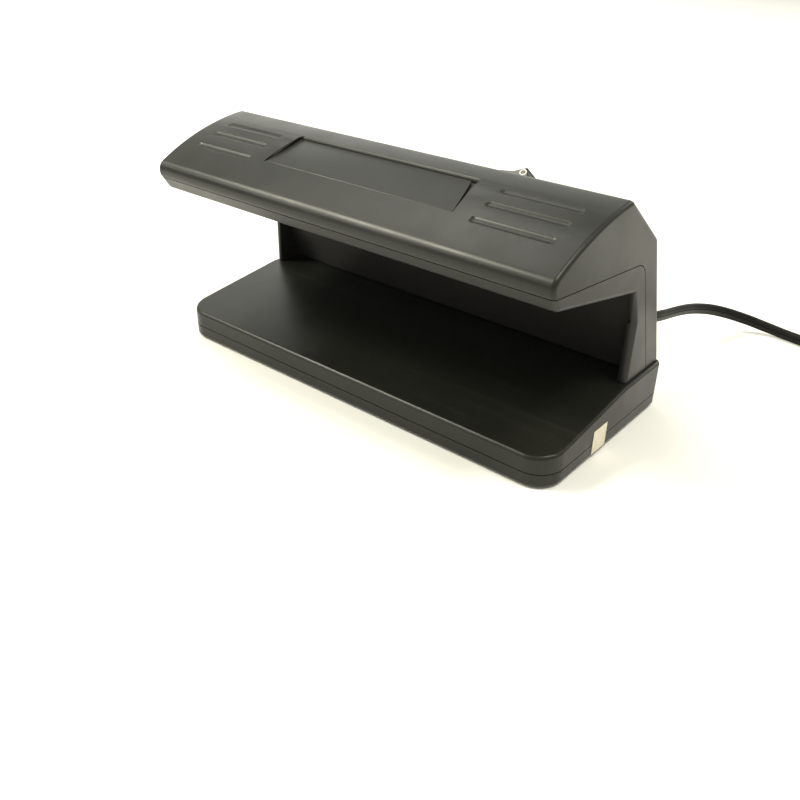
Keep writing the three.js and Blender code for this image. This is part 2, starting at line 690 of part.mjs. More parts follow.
const CORD_FLOOR_Z = CORD_W / 2 - FOOT_H;
const CORD_ROUTE = [
  glandPoint(-7.2),
  glandPoint(0),
  glandPoint(9),
  glandPoint(17),
  [76.1, 101, 23.4],
  [76.2, 110, 21.3],
  [76, 119, 19.2],
  [76.1, 127.5, 17.3],
  [76.9, 136.6, 15.2],
  [78.6, 144.4, 13.2],
  [80.9, 150.6, 11.4],
  [83.7, 155.7, 9.6],
  [86.9, 159.8, 7.9],
  [90.5, 163.1, 6.3],
  [94.4, 165.7, 4.9],
  [98.6, 167.5, 3.6],
  [103, 168.7, 2.6],
  [107.5, 169.1, 1.9],
  [112.4, 168.8, CORD_FLOOR_Z + 0.1],
  [120.5, 167.5, CORD_FLOOR_Z],
  [129.5, 165.3, CORD_FLOOR_Z],
  [139, 162.2, CORD_FLOOR_Z],
  [148, 158.9, CORD_FLOOR_Z],
  [157, 155.5, CORD_FLOOR_Z],
  [166, 151.6, CORD_FLOOR_Z],
  [175, 147.7, CORD_FLOOR_Z],
  [COIL.x + 13.9, COIL.y + 29.9, CORD_FLOOR_Z],
];

function flatCord(route, steps, section) {
  const path = new THREE.CatmullRomCurve3(route.map((p) => new THREE.Vector3(...p)));
  return new THREE.ExtrudeGeometry(shapeOf(section), { steps, extrudePath: path, bevelEnabled: false });
}

function cordCoil() {
  const { inner, outer, h } = COIL;
  const edge = 1.2;
  const ring = [
    [inner + edge, 0], [outer - edge, 0], [outer, edge], [outer, h - edge],
    [outer - edge, h], [inner + edge, h], [inner, h - edge], [inner, edge], [inner + edge, 0],
  ];
  const lathe = new THREE.LatheGeometry(ring.map(([r, z]) => new THREE.Vector2(r, z)), 28);
  return lathe.rotateX(Math.PI / 2).translate(COIL.x, COIL.y, -FOOT_H);
}

// Two-pin flat plug lying on its broad side, pins towards the front.
function plugBody() {
  const outline = [
    [-4.6, 0], [4.6, 0], [5.6, -12], [10.5, -16], [17.2, -23], [17.2, -31],
    [12.8, -36.5], [-12.8, -36.5], [-17.2, -31], [-17.2, -23], [-10.5, -16], [-5.6, -12],
  ];
  const geometry = extrude(shapeOf(outline.reverse()), 13.7, 1.5, 3).translate(PLUG.x, PLUG.y, -FOOT_H);
  let body = toSolid(geometry);
  const boreZ = PLUG.z - FOOT_H;
  body = body.subtract(box(PLUG.x - 2.85, PLUG.x + 2.85, PLUG.y - 9, PLUG.y + 2, boreZ - 1.9, boreZ + 1.9));
  for (const dx of [-9.3, 9.3]) {
    const socket = post(0, 0, 2.4, -4, 4).rotate([90, 0, 0]);
    body = body.subtract(socket.translate([PLUG.x + dx, PLUG.y - 36.5, boreZ]));
  }
  return body;
}

function plugPin(dx) {
  const length = 22;
  const pin = new THREE.CapsuleGeometry(2, length - 4, 3, 14);
  return pin.translate(PLUG.x + dx, PLUG.y - 33 - length / 2, PLUG.z - FOOT_H);
}

const CORD_TAIL = [
  [COIL.x + COIL.outer + 2.9, COIL.y + 4, PLUG.z - FOOT_H],
  [COIL.x + COIL.outer + 3.4, COIL.y - 4, PLUG.z - FOOT_H],
  [COIL.x + COIL.outer + 6, COIL.y - 11, PLUG.z - FOOT_H],
  [PLUG.x - 0.6, PLUG.y + 5, PLUG.z - FOOT_H],
  [PLUG.x, PLUG.y - 1, PLUG.z - FOOT_H],
  [PLUG.x, PLUG.y - 8.6, PLUG.z - FOOT_H],
];

function labelPlate() {
  const y0 = LABEL_Y[0];
  const y1 = LABEL_Y[1] - 0.8;
  const side = [[y0, labelZ(y0) - LABEL_T], [y1, labelZ(y1) - LABEL_T], [y1, labelZ(y1)], [y0, labelZ(y0)]];
  const plan = labelPlan(0.35, LABEL_CUT_X - 3.3);
  return alongX(side, -LABEL_X, LABEL_X).intersect(alongZ(plan, 70, 95));
}

// ---- housings ----
addNode('outer_cover', toGeometry(outerCover()), PLASTIC, 0.42);
addNode('inner_shell', toGeometry(innerShell()), PLASTIC, 0.46);
addNode('base_upper', toGeometry(baseUpper()), PLASTIC, 0.44);
addNode('base_lower', toGeometry(baseLower()), PLASTIC, 0.48);
addNode('label_plate', toGeometry(labelPlate()), 0x2e2f2c, 0.4);
const sealX = BASE_L / 2 + SEAL_GAP;
addNode('seal_sticker', toGeometry(box(sealX, sealX + SEAL_T, 29.4, 38.6, 0.7, 9.8)), 0xe4ddc6, 0.8);

// ---- pieces that come in a left and a right ----
for (const side of [-1, 1]) {
  const hand = side < 0 ? 'left' : 'right';
  for (const [end, y] of Object.entries(FOOT_Y)) {
    const foot = post(side * FOOT_X, y, FOOT_R, -FOOT_H, 0.3, 24);
    addNode(`foot_${end}_${hand}`, toGeometry(foot), 0x111111, 0.9);
  }
  const { x, headR } = BASE_SCREW;
  const front = screw(side * x, BASE_SCREW.front, 0.2, headR, 1.6, 8, SCREW_R);
  const back = screw(side * x, BASE_SCREW.back, 0.2, headR, 1.6, 26, SCREW_R);
  const headZ = panelZ(COVER_SCREW.y) - 2.3;
  const upper = screw(side * COVER_SCREW.x, COVER_SCREW.y, headZ, 2.8, 1.5, 16, SCREW_R);
  addNode(`base_screw_front_${hand}`, toGeometry(front), STEEL, 0.35, 1);
  addNode(`base_screw_back_${hand}`, toGeometry(back), STEEL, 0.35, 1);
  addNode(`cover_screw_${hand}`, toGeometry(upper), STEEL, 0.4, 1);
  addNode(`tube_cap_${hand}`, toGeometry(tubeCap(side)), 0xc9cbcd, 0.35, 1);
  addNode(`lamp_rotor_${hand}`, toGeometry(lampRotor(side)), 0xdedcd2, 0.5);
  addNode(`lamp_holder_${hand}`, toGeometry(lampHolder(side)), 0xe6e4da, 0.5);
}

// ---- lamp, switch and control gear ----
addNode('uv_tube_glass', toGeometry(tubeGlass()), 0x14101f, 0.08);
addNode('reflector', toGeometry(reflector()), 0xd5d7d8, 0.2, 1);
addNode('power_switch_body', toGeometry(switchBody()), 0x121212, 0.4);
addNode('power_rocker', toGeometry(rocker()), 0x181818, 0.32);
addNode('ballast_core', toGeometry(ballastCore()), 0x5c5e60, 0.5, 1);
addNode('ballast_winding', toGeometry(ballastWinding()), 0xa9652b, 0.4);
addNode('ballast_bracket', toGeometry(ballastBracket()), 0xa7a9ab, 0.4, 1);
addNode('terminal_block', toGeometry(terminalBlock()), 0xe9e7df, 0.5);
addNode('starter_socket', toGeometry(starterSocket()), 0xe3e1d8, 0.5);
addNode('starter_can', toGeometry(starterCan()), 0xc4c6c8, 0.35, 1);

// Name, colour and route of each wire, from one terminal to the next.
const WIRES = [
  [
    'lead_live',
    0x6b3d1f,
    [
      [76, 68.6, 25.4], [75.6, 67.3, 25.1], [74.4, 66.8, 22], [73.6, 68.8, 17.5], [73, 68.6, 14.5],
      [70.6, 63, 10], [64, 60.5, 7.2], [58.6, 57.5, 5.2], [58, 54.35, 5.1],
    ],
  ],
  [
    'lead_neutral',
    0x2f5fa8,
    [
      [76, 68.6, 23.1], [76.7, 67.4, 22.5], [77.3, 67.4, 20], [77, 68.6, 16], [74.5, 63, 10.5],
      [68.5, 58.5, 6], [66, 56.5, 5.1], [66, 54.35, 5.1],
    ],
  ],
  [
    'wire_switch',
    0x6b3d1f,
    [
      [58, 41.65, 5.1], [58.4, 38.6, 5.1], [66, 36, 5.6], [78, 37.5, 7], [84.4, 46, 9],
      [84.4, 64, 12.5], [84.4, 69.6, 16.5], [84.4, 69, 21], [84.2, 66, 32], [83.5, 60.9, 46],
      [81.5, 54.5, 60], [76, 44, 67.5], [66, 38.5, 73], [57, 36.5, 75], [50, 35, 71.5],
      [SWITCH_X + TAB_X + 0.4, 34.3, 68.2], [SWITCH_X + TAB_X, 35.97, 70.05],
    ],
  ],
  [
    'wire_neutral',
    0x2f5fa8,
    [
      [66, 41.65, 5.1], [66.4, 40.3, 5.1], [72, 40.2, 6.2], [79, 45, 8.5], [82, 56, 11],
      [82.2, 65, 12.5], [82.2, 69.4, 16.5], [82.2, 69, 21], [82, 65, 32], [81.3, 60.4, 46],
      [79.2, 53.5, 59], [77, 42, 65.5], [76, 34, 69], [75.6, 29.85, 71.5],
    ],
  ],
  [
    'wire_ballast',
    0x1c1c1c,
    [
      [SWITCH_X - TAB_X, 35.97, 70.05], [SWITCH_X - TAB_X - 0.4, 34.3, 68.2], [32.5, 37, 66.5], [24, 42, 63.6], [12, 50, 62.6],
      [-8, 55.8, 58], [-40, 60, 46], [-66, 64, 34], [-75, 68.5, 23], [-76.5, 70.4, 17],
      [-74.4, 72.6, 12.6], [-66, 74.7, 9.6], [-56, 73.4, 8.6], [-50, 72.5, 8.2], [-44.45, 72.5, 8.2],
    ],
  ],
  [
    'wire_lamp',
    0x1c1c1c,
    [
      [-44.45, 41.6, 8.2], [-50, 41.6, 8.2], [-62, 46, 9], [-76, 57, 11], [-80, 65, 12.5],
      [-80.4, 69.4, 16.5], [-80.4, 69, 21], [-80, 65, 32], [-79, 60.6, 46], [-78.5, 53.5, 59],
      [-77.5, 42, 65.5], [-76.4, 33.4, 70.4], [-76, 30, 72],
    ],
  ],
  [
    'wire_starter_left',
    0xb9b9b4,
    [
      [-72, 29.85, 74.5], [-71, 34, 74.5], [-66, 38, 75], [-56, 39.5, 76], [-48, 42, 74],
      [-43.5, 43, 71.5], [-40.35, 43, 71],
    ],
  ],
  [
    'wire_starter_right',
    0xb9b9b4,
    [
      [-40.35, 40, 66.3], [-43.5, 39.6, 66], [-44.6, 37.4, 66], [-41, 35.6, 66.4], [-30, 35.4, 66.8],
      [0, 35.4, 66.8], [34, 34.9, 64.8], [50, 35.2, 65], [62, 35, 66], [68, 34, 67.5],
      [71.4, 32.5, 68.4], [72, 29.85, 68.6],
    ],
  ],
];
for (const [name, color, points] of WIRES) {
  addNode(name, tube(points, WIRE_R, 6, 2 * points.length), color, 0.5);
}

// ---- mains cord ----
const lying = stadium(CORD_T / 2, CORD_W / 2, 3);
const onEdge = lying.map(([u, v]) => [v, u]);
addNode('cord_bushing', toGeometry(bushing()), 0x161616, 0.6);
addNode('power_cord', flatCord(CORD_ROUTE, 56, onEdge), CORD_BLACK, 0.55);
addNode('cord_coil', cordCoil(), CORD_BLACK, 0.55);
addNode('cord_tail', flatCord(CORD_TAIL, 12, lying), CORD_BLACK, 0.55);
addNode('plug_body', toGeometry(plugBody()), 0x191919, 0.5);
addNode('plug_pin_left', plugPin(-9.3), 0xd0d1d2, 0.25, 1);
addNode('plug_pin_right', plugPin(9.3), 0xd0d1d2, 0.25, 1);

export default root;
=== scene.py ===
"""Looks of the ultraviolet bill detector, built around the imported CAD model. Metres, +Z up."""

import math

import bmesh
import bpy
from mathutils import Matrix, Vector


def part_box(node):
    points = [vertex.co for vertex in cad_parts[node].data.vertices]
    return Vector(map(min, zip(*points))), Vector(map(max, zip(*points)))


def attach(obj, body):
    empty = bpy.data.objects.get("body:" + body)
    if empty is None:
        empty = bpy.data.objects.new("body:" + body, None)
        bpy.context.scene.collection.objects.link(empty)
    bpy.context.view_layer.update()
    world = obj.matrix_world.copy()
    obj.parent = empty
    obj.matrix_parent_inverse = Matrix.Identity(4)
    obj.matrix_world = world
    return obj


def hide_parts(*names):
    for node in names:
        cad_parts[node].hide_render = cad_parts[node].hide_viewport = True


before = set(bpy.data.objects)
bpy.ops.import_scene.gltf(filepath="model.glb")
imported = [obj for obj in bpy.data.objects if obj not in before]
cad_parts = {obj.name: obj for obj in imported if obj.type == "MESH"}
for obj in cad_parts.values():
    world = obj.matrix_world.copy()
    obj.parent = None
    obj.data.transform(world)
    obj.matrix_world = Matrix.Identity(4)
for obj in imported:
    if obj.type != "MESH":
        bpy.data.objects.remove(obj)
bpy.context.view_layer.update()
scene = bpy.context.scene

MM = 0.001
BASE_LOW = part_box("base_lower")[0]
BASE_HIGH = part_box("base_lower")[1]


def at(x, y, z):
    """A place in millimetres from the middle of the base's front edge, at its underside."""
    middle = (BASE_LOW.x + BASE_HIGH.x) / 2
    return Vector((middle + x * MM, BASE_LOW.y + y * MM, BASE_LOW.z + z * MM))


# ---- camera: millimetres and radians, fitted to the straight edges of the housing ----
CAMERA_PLACE = (194.5, -201.5, 165.3)
CAMERA_YAW = -0.6848
CAMERA_PITCH = 0.5227
CAMERA_ROLL = -0.0219
CAMERA_LENS = 38.49
CAMERA_SHIFT = (-0.0019, -0.0115)


def add_camera():
    """The photograph's camera: its place, its three turns, its lens and its small shift."""
    data = bpy.data.cameras.new("camera")
    camera = bpy.data.objects.new("camera", data)
    scene.collection.objects.link(camera)
    cos_pitch = math.cos(CAMERA_PITCH)
    forward = Vector(
        (math.sin(CAMERA_YAW) * cos_pitch, math.cos(CAMERA_YAW) * cos_pitch, -math.sin(CAMERA_PITCH))
    )
    level = Vector((math.cos(CAMERA_YAW), -math.sin(CAMERA_YAW), 0))
    down = forward.cross(level)
    right = level * math.cos(CAMERA_ROLL) + down * math.sin(CAMERA_ROLL)
    up = -(down * math.cos(CAMERA_ROLL) - level * math.sin(CAMERA_ROLL))
    turn = Matrix((right, up, -forward)).transposed().to_4x4()
    camera.matrix_world = Matrix.Translation(at(*CAMERA_PLACE)) @ turn
    data.sensor_width = 36
    data.lens = CAMERA_LENS
    data.shift_x, data.shift_y = CAMERA_SHIFT
    data.clip_start = 0.01
    data.clip_end = 20
    scene.camera = camera


# ---- node materials ----
def new_material(name):
    """A material with one principled shader, and what is needed to add to its nodes."""
    material = bpy.data.materials.new(name)
    material.use_nodes = True
    nodes = material.node_tree.nodes
    nodes.clear()
    shader = nodes.new("ShaderNodeBsdfPrincipled")
    output = nodes.new("ShaderNodeOutputMaterial")
    material.node_tree.links.new(shader.outputs["BSDF"], output.inputs["Surface"])
    return material, nodes, material.node_tree.links, shader


def noise(nodes, links, scale, detail=3.0, stretch=(1, 1, 1), rough=0.55):
    """A noise pattern fixed to the object, scale in features per metre."""
    place = nodes.new("ShaderNodeTexCoord")
    mapping = nodes.new("ShaderNodeMapping")
    mapping.inputs["Scale"].default_value = stretch
    links.new(place.outputs["Object"], mapping.inputs["Vector"])
    pattern = nodes.new("ShaderNodeTexNoise")
    pattern.inputs["Scale"].default_value = scale
    pattern.inputs["Detail"].default_value = detail
    pattern.inputs["Roughness"].default_value = rough
    links.new(mapping.outputs["Vector"], pattern.inputs["Vector"])
    return pattern.outputs["Fac"]


def ramp(nodes, links, value, stops):
    """Colour or grey between the given (position, colour) stops."""
    node = nodes.new("ShaderNodeValToRGB")
    elements = node.color_ramp.elements
    while len(elements) < len(stops):
        elements.new(0.5)
    for element, (position, colour) in zip(elements, stops):
        element.position = position
        element.color = (*colour, 1)
    links.new(value, node.inputs["Fac"])
    return node.outputs["Color"]


def grey(level):
    return (level, level, level)


def bump(nodes, links, shader, height, distance, strength, before=None):
    """Relief from a height pattern, laid over an earlier relief if there is one."""
    node = nodes.new("ShaderNodeBump")
    node.inputs["Distance"].default_value = distance
    node.inputs["Strength"].default_value = strength
    links.new(height, node.inputs["Height"])
    if before is not None:
        links.new(before, node.inputs["Normal"])
    links.new(node.outputs["Normal"], shader.inputs["Normal"])
    return node.outputs["Normal"]


def mix(nodes, links, factor, first, second, blend_type="MIX"):
    """Blends two colours; the factor is a number or a pattern, a colour is a tuple or a pattern."""
    node = nodes.new("ShaderNodeMix")
    node.data_type = "RGBA"
    node.blend_type = blend_type
    if isinstance(factor, (int, float)):
        node.inputs["Factor"].default_value = factor
    else:
        links.new(factor, node.inputs["Factor"])
    for socket, value in (("A", first), ("B", second)):
        target = [s for s in node.inputs if s.name == socket and s.type == "RGBA"][0]
        if isinstance(value, tuple):
            target.default_value = (*value, 1)
        else:
            links.new(value, target)
    return [s for s in node.outputs if s.type == "RGBA"][0]


PLASTIC_SPECULAR = 0.32
DUST_COLOUR = (0.42, 0.41, 0.38)
SCUFF_COLOUR = (0.30, 0.30, 0.28)
SCUFF_AMOUNT = 0.04


def moulded_plastic(name, dark, light, rough, grain=0.35, dust=0.03):
    """Spark-textured moulding: fine grain, faint flow marks, a few pale scuffs and settled dust."""
    material, nodes, links, shader = new_material(name)
    shader.inputs["Specular IOR Level"].default_value = PLASTIC_SPECULAR
    flow = noise(nodes, links, 34, 4, (0.35, 1, 1))
    colour = ramp(nodes, links, flow, [(0.35, dark), (0.68, light)])
    specks = noise(nodes, links, 900, 2)
    speck = ramp(nodes, links, specks, [(0.62, grey(0)), (0.80, grey(dust))])
    colour = mix(nodes, links, speck, colour, DUST_COLOUR)
    scratch = noise(nodes, links, 60, 5, (0.12, 2.6, 1), 0.7)
    scuff = ramp(nodes, links, scratch, [(0.60, grey(0)), (0.80, grey(SCUFF_AMOUNT))])
    colour = mix(nodes, links, scuff, colour, SCUFF_COLOUR)
    links.new(colour, shader.inputs["Base Color"])
    wear = noise(nodes, links, 55, 5)
    links.new(
        ramp(nodes, links, wear, [(0.3, grey(rough - 0.05)), (0.7, grey(rough + 0.06))]),
        shader.inputs["Roughness"],
    )
    fine = noise(nodes, links, 2600, 2)
    texture = bump(nodes, links, shader, fine, 0.06 * MM, grain)
    broad = noise(nodes, links, 26, 2)
    bump(nodes, links, shader, broad, 0.6 * MM, 0.12, texture)
    return material


def metal(name, colour, rough, stretch=(1, 1, 1), tint=None):
    """Drawn or turned metal with fine marks, longest where the stretch is smallest."""
    material, nodes, links, shader = new_material(name)
    shader.inputs["Metallic"].default_value = 1
    marks = noise(nodes, links, 700, 4, stretch)
    darker = tuple(0.72 * c for c in colour)
    links.new(
        ramp(nodes, links, marks, [(0.3, tint or darker), (0.65, colour)]), shader.inputs["Base Color"]
    )
    links.new(
        ramp(nodes, links, marks, [(0.3, grey(rough + 0.12)), (0.7, grey(rough - 0.05))]),
        shader.inputs["Roughness"],
    )
    bump(nodes, links, shader, marks, 0.05 * MM, 0.4)
    return material


def rubber(name, colour):
    """Dull moulded rubber, cloudy and lightly pitted."""
    material, nodes, links, shader = new_material(name)
    cloud = noise(nodes, links, 240, 4)
    paler = tuple(2.2 * c for c in colour)
    links.new(ramp(nodes, links, cloud, [(0.35, colour), (0.75, paler)]), shader.inputs["Base Color"])
    links.new(
        ramp(nodes, links, cloud, [(0.3, grey(0.62)), (0.7, grey(0.8))]), shader.inputs["Roughness"]
    )
    bump(nodes, links, shader, noise(nodes, links, 1800, 3), 0.08 * MM, 0.4)
    return material


VINYL_SPECULAR = 0.12


def cord_vinyl(name):
    """Extruded vinyl sheath with a dull, slightly mottled skin."""
    material, nodes, links, shader = new_material(name)
    shader.inputs["Specular IOR Level"].default_value = VINYL_SPECULAR
    mottle = noise(nodes, links, 160, 4)
    links.new(
        ramp(nodes, links, mottle, [(0.3, (0.006, 0.006, 0.006)), (0.7, (0.011, 0.011, 0.010))]),
        shader.inputs["Base Color"],
    )
    links.new(
        ramp(nodes, links, mottle, [(0.3, grey(0.44)), (0.7, grey(0.56))]), shader.inputs["Roughness"]
    )
    bump(nodes, links, shader, noise(nodes, links, 1500, 3), 0.06 * MM, 0.35)
    return material


def seal_paper(name):
    """Brittle tamper-evident paper with fibres and a little yellowing."""
    material, nodes, links, shader = new_material(name)
    fibre = noise(nodes, links, 900, 5, (0.4, 1, 2.4))
    stain = noise(nodes, links, 190, 3)
    colour = ramp(nodes, links, stain, [(0.3, (0.86, 0.81, 0.66)), (0.75, (0.74, 0.67, 0.49))])
    shade = ramp(nodes, links, fibre, [(0.25, grey(0.84)), (0.7, grey(1))])
    paper = mix(nodes, links, 1, colour, shade, "MULTIPLY")
    links.new(paper, shader.inputs["Base Color"])
    links.new(
        ramp(nodes, links, fibre, [(0.3, grey(0.55)), (0.7, grey(0.72))]), shader.inputs["Roughness"]
    )
    bump(nodes, links, shader, stain, 0.2 * MM, 0.5)
    return material


def blacklight_glass(name):
    """Deep violet filter glass, glossy and faintly clouded along its length."""
    material, nodes, links, shader = new_material(name)
    cloud = noise(nodes, links, 60, 3, (0.3, 1, 1))
    links.new(
        ramp(nodes, links, cloud, [(0.3, (0.010, 0.006, 0.030)), (0.75, (0.030, 0.018, 0.075))]),
        shader.inputs["Base Color"],
    )
    links.new(
        ramp(nodes, links, cloud, [(0.3, grey(0.06)), (0.8, grey(0.13))]), shader.inputs["Roughness"]
    )
    shader.inputs["IOR"].default_value = 1.52
    shader.inputs["Coat Weight"].default_value = 0.5
    return material


def coil_copper(name):
    """Enamelled winding wire, laid in fine turns."""
    material, nodes, links, shader = new_material(name)
    place = nodes.new("ShaderNodeTexCoord")
    wave = nodes.new("ShaderNodeTexWave")
    wave.bands_direction = "Y"
    wave.inputs["Scale"].default_value = 600
    wave.inputs["Distortion"].default_value = 0.6
    links.new(place.outputs["Object"], wave.inputs["Vector"])
    links.new(
        ramp(nodes, links, wave.outputs["Fac"], [(0.1, (0.22, 0.07, 0.02)), (0.7, (0.62, 0.27, 0.09))]),
        shader.inputs["Base Color"],
    )
    shader.inputs["Metallic"].default_value = 0.7
    links.new(
        ramp(nodes, links, wave.outputs["Fac"], [(0.1, grey(0.45)), (0.8, grey(0.25))]),
        shader.inputs["Roughness"],
    )
    bump(nodes, links, shader, wave.outputs["Fac"], 0.2 * MM, 0.6)
    return material


# Plastics: name, darkest and lightest colour, roughness, grain, dust.
PLASTICS = {
    "housing": ("housing_plastic", (0.0078, 0.0080, 0.0064), (0.0118, 0.0121, 0.0098), 0.335),
    # The inner shell is lighter and cooler than the housing: painted fill light on its shaded inner
    # walls.
    "shell": ("shell_plastic_painted_fill", (0.0160, 0.0159, 0.0150), (0.0225, 0.0223, 0.0212), 0.36),
    "label": ("label_plastic", (0.0070, 0.0072, 0.0060), (0.0104, 0.0106, 0.0090), 0.335, 0.1, 0.0),
    "switch": ("switch_plastic", grey(0.0080), grey(0.0130), 0.33, 0.12),
    "white": ("white_plastic", (0.66, 0.65, 0.60), (0.78, 0.77, 0.72), 0.42, 0.2, 0.0),
    "brown": ("wire_brown", (0.10, 0.035, 0.012), (0.17, 0.07, 0.03), 0.35, 0.1, 0.0),
    "blue": ("wire_blue", (0.015, 0.07, 0.28), (0.03, 0.12, 0.42), 0.35, 0.1, 0.0),
    "grey": ("wire_grey", (0.32, 0.32, 0.31), (0.46, 0.46, 0.44), 0.38, 0.1, 0.0),
    "mark": ("switch_mark", (0.60, 0.60, 0.57), (0.74, 0.74, 0.71), 0.40, 0.1, 0.0),
}
MATERIALS = {
    **{key: moulded_plastic(*values) for key, values in PLASTICS.items()},
    "rubber": rubber("foot_rubber", grey(0.012)),
    "vinyl": cord_vinyl("cord_vinyl"),
    "seal": seal_paper("seal_paper"),
    "glass": blacklight_glass("blacklight_glass"),
    "steel": metal("screw_steel", (0.52, 0.53, 0.55), 0.32, (1, 1, 0.2)),
    "aluminium": metal("bright_aluminium", (0.80, 0.81, 0.82), 0.26, (0.1, 1, 1)),
    "nickel": metal("pin_nickel", (0.72, 0.71, 0.68), 0.18, (1, 0.1, 1)),
    "core": metal("core_steel", (0.20, 0.20, 0.21), 0.5, (0.1, 1, 8), (0.09, 0.08, 0.075)),
    "copper": coil_copper("winding_copper"),
}


# ---- pieces: angles in degrees, lengths in millimetres, the weld distance in metres ----
WELD_DISTANCE = 1e-6
FLAT_ANGLE = 0.3
SMOOTH_ANGLE = 32
SMALL_PIECE_ANGLE = 40
CORNER_ANGLE = 35
SHORTEST_EDGE = 4
RIM_ANGLES = (40, 50)
RIM_LENGTH = 60
RIM_FRONT = 28
RIM_ABOVE = 80
RIM_WIDTH = 0.45


def link(name, mesh, body, material):
    """A visible piece made of the mesh, riding on its body, with its material and slot."""
    piece = bpy.data.objects.new(name, mesh)
    scene.collection.objects.link(piece)
    mesh.materials.clear()
    mesh.materials.append(MATERIALS[material])
    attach(piece, body)
    return piece


def smooth(piece, angle):
    """Rounds the shading of the curved stretches and keeps the real corners."""
    mesh = piece.data
    mesh.polygons.foreach_set("use_smooth", [True] * len(mesh.polygons))
    mesh.set_sharp_from_angle(angle=math.radians(angle))
    weighted = piece.modifiers.new("even_shading", "WEIGHTED_NORMAL")
    weighted.keep_sharp = True
    weighted.weight = 100


def finished(node, name, body, material, edge=0.0, angle=SMOOTH_ANGLE, shaping=None):
    """The CAD node's shape with its flats joined up, as a piece in the node's place.

    Its sharp edges are broken if edge gives a width, and shaping may work on the shape further.
    """
    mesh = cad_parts[node].data.copy()
    shape = bmesh.new()
    shape.from_mesh(mesh)
    bmesh.ops.remove_doubles(shape, verts=shape.verts, dist=WELD_DISTANCE)
    bmesh.ops.dissolve_limit(
        shape, angle_limit=math.radians(FLAT_ANGLE), verts=shape.verts, edges=shape.edges
    )
    if edge:
        break_edges(shape, edge)
    if shaping:
        shaping(shape)
    shape.to_mesh(mesh)
    shape.free()
    piece = link(name, mesh, body, material)
    smooth(piece, angle)
    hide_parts(node)
    return piece


def break_edges(shape, width):
    """Chamfers each outward corner edge that is at least SHORTEST_EDGE chamfers long."""
    chosen = []
    for edge in shape.edges:
        if len(edge.link_faces) != 2 or edge.calc_length() < SHORTEST_EDGE * width:
            continue
        if edge.calc_face_angle_signed() > math.radians(CORNER_ANGLE):
            chosen.append(edge)
    bmesh.ops.bevel(
        shape, geom=chosen, offset=width, segments=2, profile=0.6, affect="EDGES", clamp_overlap=True
    )


def soften_label_rim(shape):
    """Rounds the long upper edge of the label's field, where the top skin turns down to the plate."""
    limit = at(0, RIM_FRONT, RIM_ABOVE)
    chosen = []
    for edge in shape.edges:
        if edge.calc_length() < RIM_LENGTH * MM or len(edge.link_faces) != 2:
            continue
        turn = math.degrees(edge.calc_face_angle_signed())
        inside = all(v.co.z > limit.z and v.co.y < limit.y for v in edge.verts)
        if RIM_ANGLES[0] < turn < RIM_ANGLES[1] and inside:
            chosen.append(edge)
    bmesh.ops.bevel(
        shape,
        geom=chosen,
        offset=RIM_WIDTH * MM,
        segments=3,
        profile=0.5,
        affect="EDGES",
        clamp_overlap=True,
    )


# ---- mains cord: millimetres, but its length in metres ----
CORD_W = 4.9
CORD_T = 3.0
CORD_WAIST = 0.965
CORD_ANGLE = 50
ARC_STEPS = 8
SPLINE_STEPS = 4
# The base's underside is 1 mm above the floor, on its feet, and the cord lies 0.05 mm clear of it.
UNDERSIDE_TO_CORD = 0.95
FLOOR_Z = CORD_W / 2 - UNDERSIDE_TO_CORD
COIL_X = 169.0
COIL_Y = 114.0
COIL_OUTER = 30.9
COIL_PITCH = 3.1
COIL_CLEARANCE = 0.1
# The coil starts at COIL_START degrees, runs clockwise to 0 and then round COIL_TURNS times, but
# stops COIL_SHORT degrees early. It is drawn in COIL_STEPS steps a turn.
COIL_START = 58
COIL_TURNS = 6
COIL_SHORT = 14
COIL_STEPS = 24
# The cord comes in from ENTRY_OFFSET outside the coil, and climbs to the upper layer at its inside.
ENTRY_OFFSET = 3.4
ENTRY_TURNS = 0.2
CLIMB_TURNS = 0.22
# It stands on edge until TURN_LEAD spans before the tail, then turns flat over TURN_SPANS.
TURN_LEAD = 3
TURN_SPANS = 5
PLUG_X = 210.0
PLUG_Y = 91.0
PLUG_Z = 6.0

ROUTE = [
    (76, 69.04, 24.2),
    (76, 76.24, 24.2),
    (76, 85.24, 24.2),
    (76, 93.24, 24.2),
    (76.1, 101, 23.4),
    (76.2, 110, 21.3),
    (76, 119, 19.2),
    (76.1, 127.5, 17.3),
    (76.9, 136.6, 15.2),
    (78.6, 144.4, 13.2),
    (80.9, 150.6, 11.4),
    (83.7, 155.7, 9.6),
    (86.9, 159.8, 7.9),
    (90.5, 163.1, 6.3),
    (94.4, 165.7, 4.9),
    (98.6, 167.5, 3.6),
    (103, 168.7, 2.6),
    (107.5, 169.1, 1.9),
    (112.4, 168.8, FLOOR_Z + 0.1),
    (120.5, 167.5, FLOOR_Z),
    (129.5, 165.3, FLOOR_Z),
    (139, 162.2, FLOOR_Z),
    (148, 158.9, FLOOR_Z),
    (157, 155.5, FLOOR_Z),
    (166, 151.6, FLOOR_Z),
    (175, 147.7, FLOOR_Z),
]
TAIL = [
    (COIL_X + COIL_OUTER + 3.4, COIL_Y - 4, PLUG_Z),
    (COIL_X + COIL_OUTER + 6, COIL_Y - 11, PLUG_Z),
    (PLUG_X - 0.6, PLUG_Y + 5, PLUG_Z),
    (PLUG_X, PLUG_Y - 1, PLUG_Z),
    (PLUG_X, PLUG_Y - 8.4, PLUG_Z),
]


def ease(part):
    """From 0 to 1 as part goes from 0 to 1, with a slow start and a slow end."""
    return 0.5 - 0.5 * math.cos(math.pi * part)


